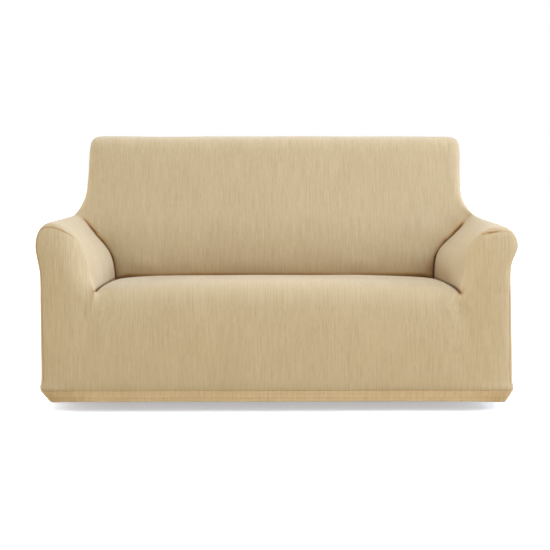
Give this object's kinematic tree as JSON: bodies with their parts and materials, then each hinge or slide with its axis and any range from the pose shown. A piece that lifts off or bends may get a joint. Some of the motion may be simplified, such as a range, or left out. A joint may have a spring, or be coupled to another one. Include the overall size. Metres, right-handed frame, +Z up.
{
  "type": "sofa slipcover",
  "caption": "Hollow stretch-knit fitted cover for a small sofa, with soft rolled arms, a tucked seat and an elastic hem band.",
  "frame": {"origin": "the underside of the cloth over the top of the backrest, midway across, where the sofa's back holds the cover up", "axes": "+X across the sofa to the right as seen from its front, +Y from the front to the back, +Z up"},
  "size_m": [1.6132, 0.83, 0.9181],
  "materials": {
    "stretch_cloth": "matt beige stretch knit with fine uneven upright ribs",
    "elastic_hem": "the same knit over elastic, a little warmer, with rows of stitching"
  },
  "bodies": {
    "root": {"front_and_seat": "stretch_cloth", "arm_panel_left": "stretch_cloth", "arm_panel_right": "stretch_cloth", "inner_back_panel": "stretch_cloth", "outer_back_panel": "stretch_cloth", "hem_band": "elastic_hem"}
  },
  "joints": []
}
